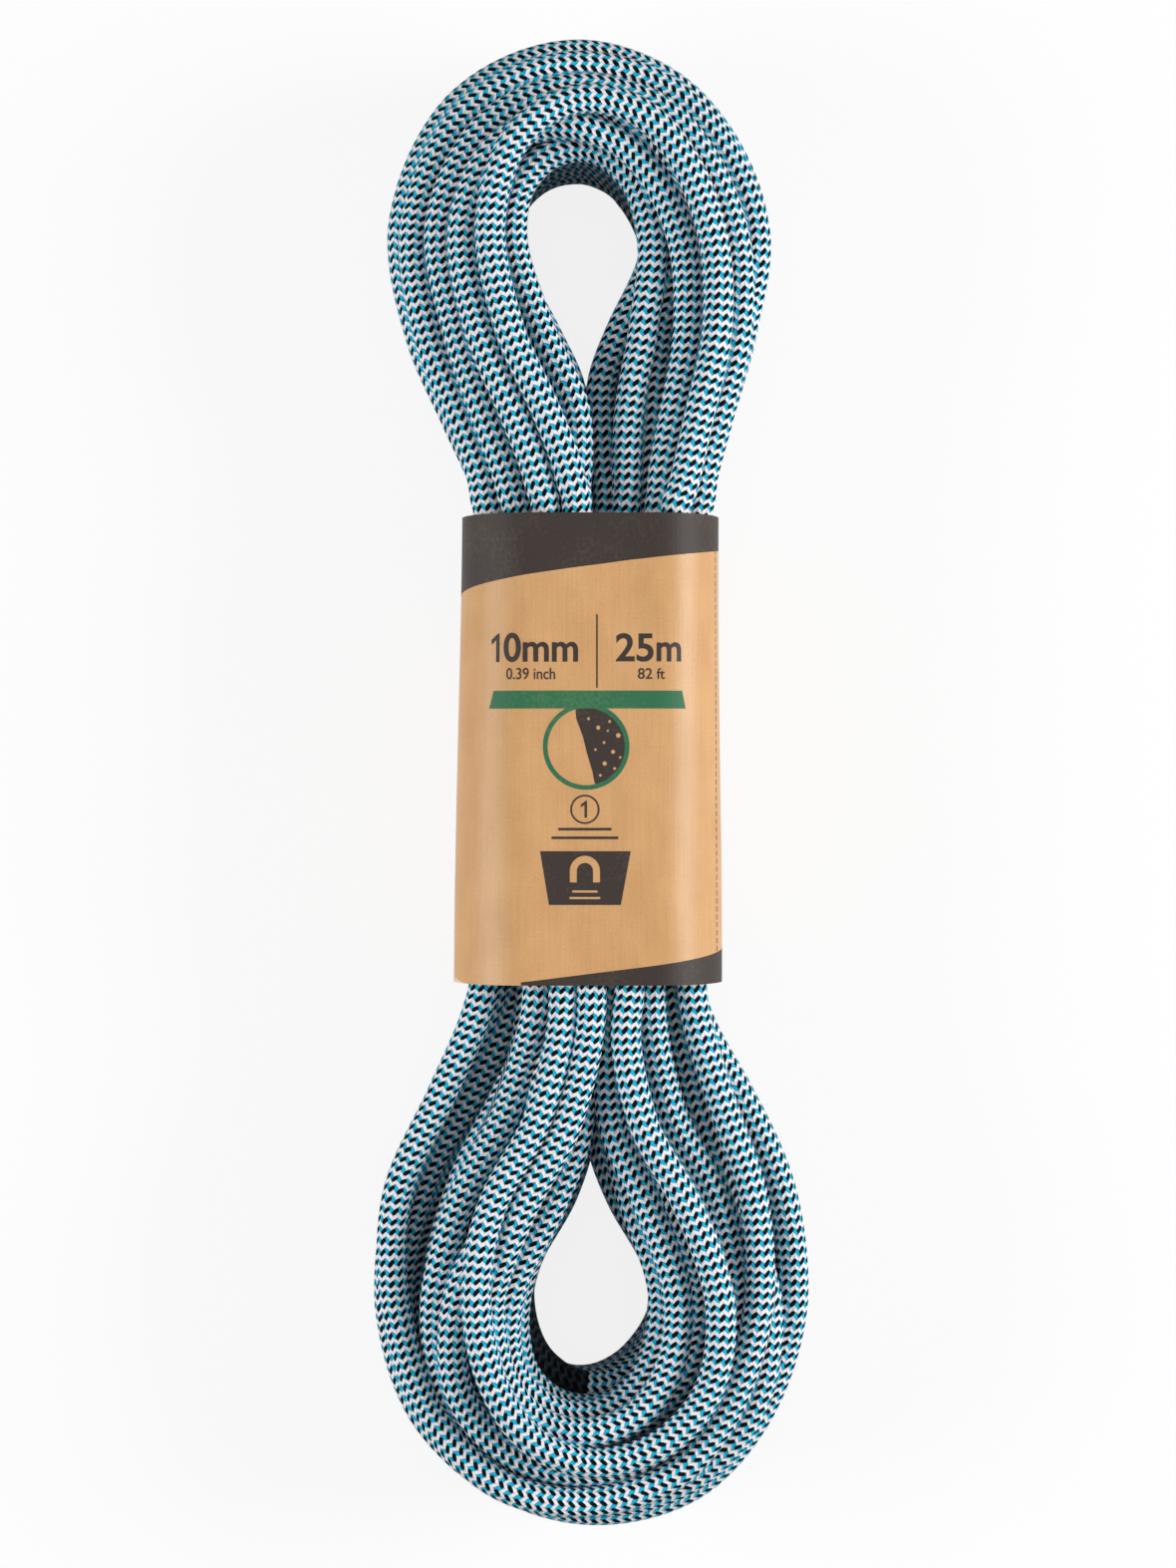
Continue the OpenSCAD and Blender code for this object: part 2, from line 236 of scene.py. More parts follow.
def settled(loops, steps):
    """The lay as it comes off the hands: strands moved to where they are seen, then let settle
    while they press each other apart."""
    inside, out, square, off, height = orderly(loops)
    ring = loops % 1 * RINGS
    share = np.clip(off / np.linalg.norm(through_ring(outer_line - inner_line, ring), axis=1), 0, 1)
    off = off + MM * (through(INNER_SHIFT + INNER_SHIFT[:1], ring) * (1 - share)
                      + through(OUTER_SHIFT + OUTER_SHIFT[:1], ring) * share)
    # the black mark, low in the lower eye, stands proud of the strands beside it
    by_mark = smooth(1 - np.abs((ring + RINGS / 2) % RINGS - 13.5) / 3.5)
    off += by_mark * (1 - share) * smooth((40 * MM - height) / (25 * MM)) * 5 * MM
    held = np.zeros(len(loops))
    for from_ring, places in FRONT.items():
        at = loops * RINGS - from_ring
        here = (at >= -1) & (at <= len(places))
        sure = smooth(np.minimum(at[here] + 1, len(places) - at[here]))
        off[here] += sure * (through(places, at[here]) * MM - off[here])
        held[here] = np.maximum(held[here], sure)
    for loop, lifts in LIFT.items():
        rings_at = [-6, *lifts, RINGS]
        height += np.interp((loops - loop) * RINGS, rings_at, [0, *lifts.values(), 0]) * MM
    wanted, level = off.copy(), height.copy()
    at_waist = np.abs(inside[:, 1]) < WAIST_HALF + MM
    at_sides = np.abs(np.sin(2 * np.pi * loops)) > 0.5
    period = len(steps)
    first = int(loops[0] // 1) * period + np.searchsorted(steps, loops[0] % 1 - 1e-6)
    for go in range(PASSES):
        firmness = FIRM if go < PASSES - LAST_PASSES else YIELDING
        push_off, push_up = np.zeros(len(loops)), np.zeros(len(loops))
        path = np.column_stack([inside + out * off[:, None], height])
        # strands of the left side against those of the right
        for facing in range(2 * math.floor(FIRST_LOOP) + 1, 2 * math.ceil(LAST_LOOP) - 1):
            low = max(facing * period - 2 * first - len(loops) + 1, 0)
            pair = slice(low, min(facing * period - 2 * first, len(loops) - 1) + 1)
            between = path[pair] - path[pair][::-1]
            gap = np.linalg.norm(between, axis=1) + 1e-9
            push = at_sides[pair] * np.maximum(TOUCH - gap, 0) * firmness / gap
            push_off[pair] += (between[:, :2] * out[pair]).sum(1) * push
            push_up[pair] += between[:, 2] * push
        for apart in range(period, len(loops), period):     # and against those of their own side
            aside = (off[apart:] - off[:-apart]) * square[apart:]
            above = height[apart:] - height[:-apart]
            gap = np.hypot(aside, above) + 1e-9
            push = np.maximum(TOUCH - gap, 0) * firmness / gap
            push_off[apart:] += aside * push
            push_off[:-apart] -= aside * push
            push_up[apart:] += above * push
            push_up[:-apart] -= above * push
        off += push_off * (1 - FRONT_HOLDS * held) + (wanted - off) * (PULL + PULL_FRONT * held)
        height += push_up + (level - height) * PULL_UP
        for line in (off, height):
            line[1:-1] += STRAIGHTENS * (line[2:] - 2 * line[1:-1] + line[:-2])
        height = np.maximum(height, ROPE_D / 2)
        x = np.abs((inside + out * off[:, None])[:, 0])
        roof = WAIST_TOP - ROOF_BEND + np.sqrt(
            np.maximum(ROOF_BEND ** 2 - np.maximum(x - ROOF_FLAT, 0) ** 2, 0))
        height = np.where(at_waist, np.minimum(height, roof), height)
        for span in (3, 6):                     # the rope is too stiff to bend tighter than this
            path = np.column_stack([inside + out * off[:, None], height])
            chord = np.linalg.norm(path[2 * span:] - path[:-2 * span], axis=1)
            sag = (path[2 * span:] + path[:-2 * span]) / 2 - path[span:-span]
            depth = np.linalg.norm(sag, axis=1) + 1e-9
            sag *= 0.5 * (np.maximum(depth - chord**2 / (8 * TIGHTEST), 0) / depth)[:, None]
            off[span:-span] += (sag[:, :2] * out[span:-span]).sum(1)
            height[span:-span] += sag[:, 2]
    return np.column_stack([inside + out * off[:, None], height])


def through_ring(lines, ring):
    return np.column_stack([np.interp(ring, range(RINGS + 1), np.append(line, line[0]))
                            for line in lines.T])


# The hank is centred on the coarse rings of its even lay, as the solid is
coarse = np.arange(round(FIRST_LOOP * RINGS), round(LAST_LOOP * RINGS) + 1) / RINGS
inside, out, _, off, _ = orderly(coarse)
corners = inside + out * off[:, None]
centre = np.append((corners.min(0) + corners.max(0)) / 2, 0)
steps = [(ring + part / parts) / RINGS for ring in range(RINGS)
         for parts in [8 if ring in WAIST_RUNS else 10] for part in range(parts)]
loops = np.array([loop + step for loop in range(-12, 13) for step in steps])
loops = loops[(loops > FIRST_LOOP - 1e-6) & (loops < LAST_LOOP + 1e-6)]
rope_path = settled(loops, steps) - centre

# Both ends run straight on along the waist, to where their cut ends begin
ends = {}
for name, tip, y in (("a", 0, 25 * MM), ("b", -1, -25 * MM)):
    heading = unit(rope_path[tip] - rope_path[tip + 1 if tip == 0 else tip - 1]) * (1, 1, 0)
    start = rope_path[tip] + heading * (y - rope_path[tip][1]) / heading[1]
    ends[name] = (start, heading)
LEAD = 5                                 # steps of each straight end
straight = np.linspace(0, 1, LEAD + 1)[1:, None]
lead_a = rope_path[0] + (ends["a"][0] - rope_path[0]) * straight
lead_b = rope_path[-1] + (ends["b"][0] - rope_path[-1]) * straight
rope_path = np.vstack([lead_a[::-1], rope_path, lead_b])
path_loops = np.concatenate([np.full(LEAD, loops[0]), loops, np.full(LEAD, loops[-1])])

# The sheath's braid: white zigzags between rows of black and cyan floats
SIDES = 16
FLOATS_ROUND = 20
ROW = 1.72 * MM
ROWS_IN_TILE = 32
TILE = ROW * ROWS_IN_TILE
MAP_EDGE, MAP_WIDTH = 0.004, 0.492       # where in its half of the tile the map starts, and its width
ROLL = 5.0                               # how the rope turns on itself, in radians to the metre
MARK = (0.0, 0.15)                       # the dyed stretch, in loops from the middle


def tube(name, path, diameters, marked=None):
    """A round tube along the path, with a map that runs round it and repeats along it."""
    heading = np.gradient(path, axis=0)
    heading[1:-1] = unit(path[2:] - path[1:-1]) + unit(path[1:-1] - path[:-2])
    heading = unit(heading)
    side = unit(np.cross((0, 0, 1), heading))
    top = np.cross(heading, side)
    run = np.append(0, np.cumsum(np.linalg.norm(np.diff(path, axis=0), axis=1)))
    angle = 2 * np.pi * np.arange(SIDES) / SIDES + ROLL * run[:, None]
    radius = np.broadcast_to(np.asarray(diameters) / 2, len(path))[:, None, None]
    points = path[:, None] + radius * (np.cos(angle)[..., None] * side[:, None]
                                       + np.sin(angle)[..., None] * top[:, None])
    ring = np.arange(len(path) - 1)[:, None] * SIDES
    j = np.arange(SIDES)
    k = (j + 1) % SIDES
    quads = np.stack([ring + j, ring + SIDES + j, ring + SIDES + k, ring + k], 2).reshape(-1, 4)
    last = (len(path) - 1) * SIDES
    caps = [list(range(SIDES)), list(range(last + SIDES - 1, last - 1, -1))]
    mesh = bpy.data.meshes.new(name)
    mesh.from_pydata(points.reshape(-1, 3).tolist(), [], quads.tolist() + caps)
    piece = bpy.data.objects.new(name, mesh)
    bpy.context.collection.objects.link(piece)
    half = 0.0 if marked is None else 0.5 * marked[:-1]
    u = np.stack([j, j, j + 1, j + 1], 1) / SIDES * MAP_WIDTH + MAP_EDGE
    u = u[None] + np.broadcast_to(half, len(path) - 1)[:, None, None]
    v = (run / TILE)[:, None]
    v = np.stack([v[:-1], v[1:], v[1:], v[:-1]], 2) + np.zeros((1, SIDES, 1))
    if marked is not None:              # the dyed stretch has a tile of its own, from 0 to 1
        v -= np.where(marked[:-1], np.floor(run[marked][0] / TILE) + 1, 0)[:, None, None]
    turn = 2 * np.pi * np.arange(SIDES) / SIDES          # both caps show one small spot of the tile
    cap = np.stack([0.25 + 0.01 * np.cos(turn), 0.5 + 0.01 * np.sin(turn)], 1)
    uv = np.vstack([np.stack([u, v], 3).reshape(-1, 2), cap, cap])
    layer = mesh.uv_layers.new(name="OFBake")
    layer.data.foreach_set("uv", uv.ravel().astype(np.float32))
    mesh.polygons.foreach_set("use_smooth", [True] * len(quads) + [False, False])
    return piece


class Value:
    """A socket of a material: arithmetic on it adds Math nodes, and node() any other node."""

    def __init__(self, tree, socket=None):
        self.tree, self.socket = tree, socket

    def node(self, kind, settings={}, inputs={}, output=0):
        node = self.tree.nodes.new("ShaderNode" + kind)
        for name, value in settings.items():
            setattr(node, name, value)
        for place, value in inputs.items():
            if isinstance(value, Value):
                self.tree.links.new(value.socket, node.inputs[place])
            else:
                node.inputs[place].default_value = value
        return Value(self.tree, node.outputs[output])

    def math(self, operation, *values):
        return self.node("Math", {"operation": operation}, dict(enumerate(values)))

    def mix(self, share, first, second):
        return self.node("Mix", {"data_type": "RGBA"}, {0: share, 6: first, 7: second}, 2)

    def axes(self, vector):
        return [self.node("SeparateXYZ", inputs={0: vector}, output=axis) for axis in range(3)]

    def __add__(self, other):
        return self.math("ADD", self, other)

    def __sub__(self, other):
        return self.math("SUBTRACT", self, other)

    def __rsub__(self, other):
        return self.math("SUBTRACT", other, self)

    def __mul__(self, other):
        return self.math("MULTIPLY", self, other)

    def __truediv__(self, other):
        return self.math("DIVIDE", self, other)

    def __mod__(self, other):
        return self.math("FLOORED_MODULO", self, other)

    def __gt__(self, other):
        return self.math("GREATER_THAN", self, other)

    def __lt__(self, other):
        return self.math("LESS_THAN", self, other)

    def __abs__(self):
        return self.math("ABSOLUTE", self)

    __radd__ = __add__


def new_material(name):
    material = bpy.data.materials.new(name)
    material.use_nodes = True
    return material, Value(material.node_tree)


def dress(material, height=None, depth=None, **sockets):
    """Sets or links the shader's sockets, and a relief of that depth in metres."""
    tree = material.node_tree
    if height is not None:
        sockets["Normal"] = Value(tree).node("Bump", inputs={"Height": height, "Distance": depth})
    for name, value in sockets.items():
        socket = tree.nodes["Principled BSDF"].inputs[name.replace("_", " ")]
        if isinstance(value, Value):
            tree.links.new(value.socket, socket)
        else:
            socket.default_value = value


def seen(red, green, blue):
    """A colour as the eye sees it, from 0 to 255, in the shader's linear values."""
    channels = [value / 255 for value in (red, green, blue)]
    return (*[c / 12.92 if c <= 0.04045 else ((c + 0.055) / 1.055) ** 2.4 for c in channels], 1)


# Each yarn's own colour, and the painted shade it is mixed towards where its floats dip into the
# crevices between them
WHITE_YARN, WHITE_PAINTED_SHADE = seen(250, 249, 253), seen(70, 72, 100)
BLACK_YARN, BLACK_PAINTED_SHADE = seen(11, 9, 13), seen(2, 2, 4)
CYAN_YARN, CYAN_PAINTED_SHADE = seen(20, 196, 236), seen(0, 66, 108)
MARK_DYE = seen(6, 6, 9)
COLUMN = math.pi * ROPE_D / FLOATS_ROUND
WHITE_RISE = 0.9                         # rows that the white zigzag climbs in each column
WAVES = (3, 2, 0.07), (7, -3, 0.05)      # along a tile, round the rope, and how many rows each moves
WHITE_SLIM, WHITE_CROWN = 3.0, 0.38      # how fast it falls off to its sides, and to its ends
# Each coloured float: its place in columns and rows, lean, half length, half width, squareness
BLACK_FLOAT = (0.6, 0.04, math.radians(49), 1.25 * MM, 0.72 * MM, 3.4)
CYAN_FLOAT = (1.6, -0.14, math.radians(-41), 1.32 * MM, 0.83 * MM, 2.8)


def braid_material():
    """White zigzags, and between them slanted black and rounder cyan floats of twisted yarn."""
    material, start = new_material("braided_nylon")
    u, v, _ = start.axes(start.node("UVMap", {"uv_map": "OFBake"}))
    dyed = u > 0.5
    around = (u - dyed * 0.5 - MAP_EDGE) / MAP_WIDTH
    across = around * -FLOATS_ROUND
    rows = v * -ROWS_IN_TILE
    for along, round_it, by in WAVES:
        rows += start.math("SINE", v * (2 * math.pi * along) + around * (2 * math.pi * round_it)) * by

    def yarn_float(column, row, lean, half_length, half_width, squareness):
        """How far out in the float a point is, 1 at its edge, and its ply."""
        x = ((across / 2 - (column / 2 - 0.5)) % 1 - 0.5) * (2 * COLUMN)
        y = ((rows / 2 - (row / 2 - 0.5)) % 1 - 0.5) * (2 * ROW)
        along = x * math.cos(lean) + y * math.sin(lean)
        aside = y * math.cos(lean) - x * math.sin(lean)
        out = (start.math("POWER", abs(along) / half_length, squareness)
               + start.math("POWER", abs(aside) / half_width, squareness))
        return out, start.math("SINE", aside * (9 / half_width) + along * (4 / half_length)) * 0.5 + 0.5

    f = across % 1                                      # place across one column
    zigzag = rows - abs((across + 1) % 2 - 1) * WHITE_RISE
    from_white = abs((zigzag + 0.5) % 2 - 1)            # 0 in the middle of a white row
    # Painted shade: the white is mixed towards its painted shade colour at the sides of its zigzag,
    # where each float dips under at a column edge, and in the grooves between its plies
    crown = start.math("SQRT", start.math("MAXIMUM", start.math("SINE", f * math.pi), 0))
    swell = start.math("SQRT", start.math("MAXIMUM", 1 - from_white * from_white * WHITE_SLIM, 0))
    ply = start.math("SINE", from_white * 11 + f * 8) * 0.5 + 0.5
    height = swell * (1 - WHITE_CROWN + crown * WHITE_CROWN)
    painted_light = start.math("MINIMUM", height * 1.4 + 0.05, 1) - ply * 0.10
    colour = start.mix(painted_light, WHITE_PAINTED_SHADE, WHITE_YARN)
    for place, yarn, shade in ((CYAN_FLOAT, CYAN_YARN, CYAN_PAINTED_SHADE),
                               (BLACK_FLOAT, BLACK_YARN, BLACK_PAINTED_SHADE)):
        out, twist = yarn_float(*place)
        here = out < 1
        # Painted shade: each coloured float is painted darker towards its edge and in the grooves of
        # its twist
        top = start.math("SQRT", start.math("MAXIMUM", 1 - out, 0)) * 0.75 + 0.25
        painted_shading = start.math("MINIMUM", top * 1.25, 1) - twist * 0.22
        colour = start.mix(here, colour, start.mix(painted_shading, shade, yarn))
        height = height + here * (top + twist * 0.08 - height)
    colour = start.mix(dyed * 0.96, colour, MARK_DYE)
    dress(material, height, 0.5 * MM, Base_Color=colour, Roughness=0.8, Specular_IOR_Level=0.12)
    return material


braid = braid_material()
marked = (path_loops > MARK[0]) & (path_loops < MARK[1])
rope = tube("rope", rope_path, ROPE_D, marked)
rope.data.materials.append(braid)
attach(rope, "rope")
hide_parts("rope_hank")


# Cut ends: both lie in the waist under the sleeve. Each is drawn in a little under a clear label
# band, and its sheath and core are melted together at the tip.
END_D = 9.7 * MM
DRAWN_OVER = 4 * MM
END_LENGTH = 50 * MM
SEAL = 2.5 * MM                          # length of the melted tip
for name, (start, heading) in ends.items():
    spots = np.append(np.array([0, 1, 2, 4, 8, 16, 24, 32, 40]) * MM, END_LENGTH - SEAL)
    drawn_in = ROPE_D - (ROPE_D - END_D) * smooth(spots / DRAWN_OVER)
    sheath = tube("sheath_" + name, start + heading * spots[:, None], drawn_in)
    sheath.data.materials.append(braid)
    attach(sheath, "rope")
    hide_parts("sheath_end_" + name)


def wear(node, material):
    """Puts the material on a CAD node."""
    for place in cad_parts[node].material_slots:
        place.material = material


core_yarn, start = new_material("core_yarn")
x, y, z = start.axes(start.node("TexCoord", output=3))
twist = start.math("SINE", y * 1400 + x * 2100 + z * 1700) * 0.5 + 0.5
dress(core_yarn, twist, 0.1 * MM, Roughness=0.8,
      Base_Color=start.mix(twist * 0.35, seen(238, 238, 234), seen(190, 190, 196)))

clear_band, start = new_material("clear_band")
x, y, z = start.axes(start.node("TexCoord", output=3))
stripe = start.math("SINE", y * 900) > 0.55
dress(clear_band, start.node("TexNoise", inputs={"Scale": 500}), 0.05 * MM, Roughness=0.25,
      Base_Color=start.mix(stripe, seen(226, 228, 230), seen(120, 122, 126)))

melted_nylon, start = new_material("melted_nylon")
lumps = start.node("TexNoise", inputs={"Scale": 700, "Detail": 3})
dress(melted_nylon, lumps, 0.4 * MM, Roughness=0.4,
      Base_Color=start.mix(lumps, seen(24, 30, 36), seen(96, 120, 130)))

for name in ends:
    wear("core_end_" + name, core_yarn)
    wear("end_band_" + name, clear_band)
    wear("end_seal_" + name, melted_nylon)
([bpy.data.objects["sheath_" + name] for name in ends]
        + [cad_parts[part + name] for name in ends
           for part in ("core_end_", "end_band_", "end_seal_")])


# Sleeve: a strip of brown kraft card, scored and bent round the waist, its ends lapped and glued
# underneath. It grips the strands and can be pushed a little way along them.
low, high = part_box("kraft_sleeve")
SLEEVE_HALF, SLEEVE_TOP, SLEEVE_FOOT = high[0], high[2], low[2]
SLEEVE_ENDS = (low[1], high[1])
BEND_R = 24 * MM
CARD = 0.55 * MM
LAP_RISE = CARD + 0.15 * MM              # the right end lies inside the left one
LAP_HALF = 12 * MM
FLAT = SLEEVE_HALF - BEND_R
BEND = BEND_R * math.pi / 2
WALL = SLEEVE_TOP - SLEEVE_FOOT - 2 * BEND_R
ROUND = 2 * FLAT + 2 * BEND + WALL       # from the middle of the front to that of the back
BULGE = 0.35 * MM                        # how far the strands beneath push it out and in, and the
BULGE_ROUND, BULGE_ALONG, BULGE_SLANT = 9 * MM, 31 * MM, 40 * MM       # reach of that over the card
LEFT_FLARE, RIGHT_FLARE = (-0.5 * MM, 2.5 * MM), (-2.4 * MM, -1.5 * MM)     # at top and bottom


def on_card(w, y, proud):
    """Points that far above the card's outer face: w round it from the front's middle, y along."""
    side = np.where(w < 0, -1, 1)
    wall = WALL - np.where(w > 0, LAP_RISE, 0)
    far = np.abs(w)
    turned = (np.clip(far - FLAT, 0, BEND) + np.clip(far - FLAT - BEND - wall, 0, BEND)) / BEND_R
    out, up = np.sin(turned), np.cos(turned)
    back = np.maximum(far - FLAT - 2 * BEND - wall, 0)
    x = np.minimum(far, FLAT) + BEND_R * out - back
    z = SLEEVE_TOP - BEND_R + BEND_R * up - np.clip(far - FLAT - BEND, 0, wall)
    down = (SLEEVE_ENDS[1] - y) / (SLEEVE_ENDS[1] - SLEEVE_ENDS[0])
    flare = [start + (end - start) * smooth(down) for start, end in (LEFT_FLARE, RIGHT_FLARE)]
    bulge = BULGE * np.sin(w / BULGE_ROUND + 0.6) * np.cos(y / BULGE_ALONG + w / BULGE_SLANT)
    proud = proud + bulge * smooth(up * 4 + 1)
    x = side * (x + out * (proud + np.where(w < 0, *flare)))
    return np.stack([x, y + 0 * w, z + up * proud], -1)


CARD_COLUMNS, CARD_ROWS = 190, 84
bpy.ops.object.select_all(action="DESELECT")
bpy.ops.mesh.primitive_grid_add(x_subdivisions=CARD_COLUMNS, y_subdivisions=CARD_ROWS, size=1)
sleeve = bpy.context.active_object
sleeve.name = "card_sleeve"
flat = np.empty(len(sleeve.data.vertices) * 3)
sleeve.data.vertices.foreach_get("co", flat)
flat = flat.reshape(-1, 3)
card_w = (flat[:, 0] * 2) * (ROUND + LAP_HALF - LAP_RISE / 2) - LAP_RISE / 2
card_y = SLEEVE_ENDS[0] + (flat[:, 1] + 0.5) * (SLEEVE_ENDS[1] - SLEEVE_ENDS[0])
sleeve.data.vertices.foreach_set("co", on_card(card_w, card_y, 0.0).ravel())
sleeve.data.update()
sleeve.data.uv_layers.active.name = "blank"      # the map of the flat card
thickness = sleeve.modifiers.new("card", "SOLIDIFY")
thickness.thickness = CARD
thickness.offset = -1
bpy.ops.object.modifier_apply(modifier="card")
bpy.ops.object.shade_smooth_by_angle(angle=math.radians(40))
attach(sleeve, "sleeve")
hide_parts("kraft_sleeve")

kraft, start = new_material("kraft_card")
u, v, _ = start.axes(start.node("UVMap", {"uv_map": "blank"}))
w = (u - 0.5) * (2 * (ROUND + LAP_HALF) / MM)
y = v * ((SLEEVE_ENDS[1] - SLEEVE_ENDS[0]) / MM)


def grain(across, along, detail=2, roughness=0.5):
    """Noise stretched over the card: how many grains to the millimetre each way."""
    place = start.node("CombineXYZ", inputs={0: w * across, 1: y * along})
    return start.node("TexNoise", inputs={"Vector": place, "Scale": 1, "Detail": detail,
                                          "Roughness": roughness})


flecks = grain(2.2, 1.3, 3, 0.7)
laid = grain(1.3, 0.03)
cloud = grain(0.08, 0.05, 3)
tone = start.mix(cloud * 2 - 0.5, seen(204, 152, 95), seen(219, 169, 112))
tone = start.mix(start.math("MAXIMUM", flecks - 0.54, 0) * 1.7, tone, seen(160, 114, 72))
tone = start.mix(start.math("MAXIMUM", 0.45 - flecks, 0) * 1.8, tone, seen(238, 206, 164))
tone = start.mix(start.math("MAXIMUM", laid - 0.45, 0) * 0.8, tone, seen(180, 134, 88))
# The perforation: its slits are not cut through the card. Each is a shallow dent in the relief, painted
# dark brown as painted shade in the slit.
HOLES_AT, HOLE_HALF, HOLE_STEP, HOLE_LENGTH = 48.6, 0.42, 2.6, 1.7      # millimetres
holes = (abs(w - HOLES_AT) < HOLE_HALF) * (y % HOLE_STEP < HOLE_LENGTH)
tone = start.mix(holes * 0.95, tone, seen(62, 43, 28))
TORN_FROM, TORN_WIDE, TORN_HIGH = -53, 9, 1.6        # a torn, pale edge at the lower left
torn = ((w - TORN_FROM) / TORN_WIDE + y / TORN_HIGH < 1) * (w > TORN_FROM)
tone = start.mix(torn * 0.7, tone, seen(240, 224, 202))
dress(kraft, laid * 0.6 + flecks * 0.4 - holes, 0.12 * MM, Base_Color=tone, Roughness=0.42)
sleeve.data.materials.append(kraft)

glue, start = new_material("glue")
dress(glue, Roughness=0.45, Base_Color=start.mix(
    start.node("TexNoise", inputs={"Scale": 300}), seen(226, 216, 186), seen(206, 190, 150)))
wear("sleeve_glue", glue)


# Print: two inks on the card, laid down flat before it was bent. Dark brown for the sizes, the
# signs and the two slanted bands, and green for the bar and the ring.
PRINT_PROUD = 0.05 * MM
PRINT_ROWS = 7 * MM                      # how far apart it is cut across, so that it follows the bulge
card_lines = np.unique(card_w.round(7))


def ink(name, colour, worn):
    """An ink that has sunk into the card, so its grain shows through."""
    material, start = new_material(name)
    place = start.node("TexCoord", output=3)
    grain = start.node("TexNoise", inputs={"Vector": place, "Scale": 900, "Detail": 2})
    patch = start.node("TexNoise", inputs={"Vector": place, "Scale": 60, "Detail": 2})
    colour = start.mix(start.math("MAXIMUM", grain + patch - 1.0, 0) * 1.6, colour, worn)
    dress(material, grain, 0.04 * MM, Base_Color=colour, Roughness=0.6)
    return material


dark_ink = ink("dark_ink", seen(50, 38, 32), seen(84, 68, 54))
green_ink = ink("green_ink", seen(30, 106, 68), seen(88, 128, 80))


def print_on_card(name, piece, material):
    """Makes flat artwork a mesh, cuts it along the card's columns and wraps it on."""
    bpy.ops.object.select_all(action="DESELECT")
    piece.select_set(True)
    bpy.context.view_layer.objects.active = piece
    bpy.ops.object.convert(target="MESH")
    piece = bpy.context.active_object
    piece.name = name
    corners = np.array([tuple(vertex.co) for vertex in piece.data.vertices])
    bpy.ops.object.mode_set(mode="EDIT")
    for axis, lines in ((0, card_lines), (1, np.arange(*SLEEVE_ENDS, PRINT_ROWS))):
        for line in lines[(lines > corners[:, axis].min()) & (lines < corners[:, axis].max())]:
            bpy.ops.mesh.select_all(action="SELECT")
            bpy.ops.mesh.bisect(plane_co=(line, line, 0), plane_no=(1 - axis, axis, 0))
    bpy.ops.object.mode_set(mode="OBJECT")
    corners = np.array([tuple(vertex.co) for vertex in piece.data.vertices])
    wrapped = on_card(corners[:, 0], corners[:, 1], PRINT_PROUD)
    piece.data.vertices.foreach_set("co", wrapped.ravel())
    piece.data.update()
    piece.data.materials.append(material)
    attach(piece, "sleeve")


def artwork(outlines):
    """A flat filled shape in millimetres. An outline inside another is a hole."""
    curve = bpy.data.curves.new("artwork", "CURVE")
    curve.dimensions = "2D"
    curve.fill_mode = "BOTH"
    for outline in outlines:
        spline = curve.splines.new("POLY")
        spline.points.add(len(outline) - 1)
        for point, (x, y) in zip(spline.points, outline):
            point.co = (x * MM, y * MM, 0, 1)
        spline.use_cyclic_u = True
    piece = bpy.data.objects.new("artwork", curve)
    bpy.context.collection.objects.link(piece)
    return piece


def arc(x, y, radius, start=0, end=360, count=48):
    turns = np.radians(np.linspace(start, end, count, endpoint=abs(end - start) < 360))
    return [(x + radius * math.cos(turn), y + radius * math.sin(turn)) for turn in turns]


def box(left, low, right, high):
    """Corners of a bar, in millimetres from the middle of the waist."""
    return [(left, low), (right, low), (right, high), (left, high)]


def figures(name, words, left, low, right, high, weight):
    """Figures and their units, fitted into a box, their strokes made that much heavier."""
    bpy.ops.object.select_all(action="DESELECT")
    bpy.ops.object.text_add()
    piece = bpy.context.active_object
    piece.data.body = words
    piece.data.offset = weight
    piece.data.resolution_u = 6
    bpy.ops.object.convert(target="MESH")
    corners = np.array([tuple(vertex.co) for vertex in piece.data.vertices])[:, :2]
    span = corners.max(0) - corners.min(0)
    fitted = (corners - corners.min(0)) / span * ((right - left) * MM, (high - low) * MM)
    fitted = np.column_stack([fitted + (left * MM, low * MM), 0 * fitted[:, 0]])
    piece.data.vertices.foreach_set("co", fitted.ravel())
    piece.data.update()
    print_on_card(name, piece, dark_ink)


# The slanted bands along the card's two ends
ends_mm = [end / MM for end in SLEEVE_ENDS]
band_edge = [(-155, 44), (-120, 49), (-90, 54), (-70, 58), (-51.8, 61.6), (-40, 63.6), (-32.4, 64.8),
             (-20.5, 66.8), (-8, 68.6), (1.1, 69.8), (12, 71.3), (24, 72.6), (44.2, 74.7), (70, 77),
             (100, 79), (143, 82)]
print_on_card("top_band", artwork([band_edge + [(143, ends_mm[1]), (-155, ends_mm[1])]]), dark_ink)
wedge_edge = [(-23.1, ends_mm[0]), (-23.1, -65.3), (14.6, -60.6), (34.8, -58), (48.2, -56.3),
              (70, -53.5), (100, -50), (143, -45), (143, ends_mm[0])]
print_on_card("bottom_wedge", artwork([wedge_edge]), dark_ink)

# The sizes. A plain figure 1 with a flag serves the diameter and the round sign
one = [(0.36, 0), (0.36, 0.76), (0, 0.6), (0, 0.78), (0.5, 1), (0.62, 1), (0.62, 0)]
print_on_card("diameter_one", artwork([[(-33.8 + 4.8 * x, 38.3 + 9.3 * y) for x, y in one]]),
              dark_ink)
figures("diameter_figures", "0mm", -29.4, 38.2, -5, 47.8, 0.02)
figures("length_figures", "25m", 7.2, 38.3, 29.4, 47.6, 0.02)
figures("inch_figures", "0.39 inch", -28.4, 32.6, -12.4, 36.4, 0.012)
figures("foot_figures", "82 ft", 14.3, 32.7, 23.4, 36.3, 0.012)

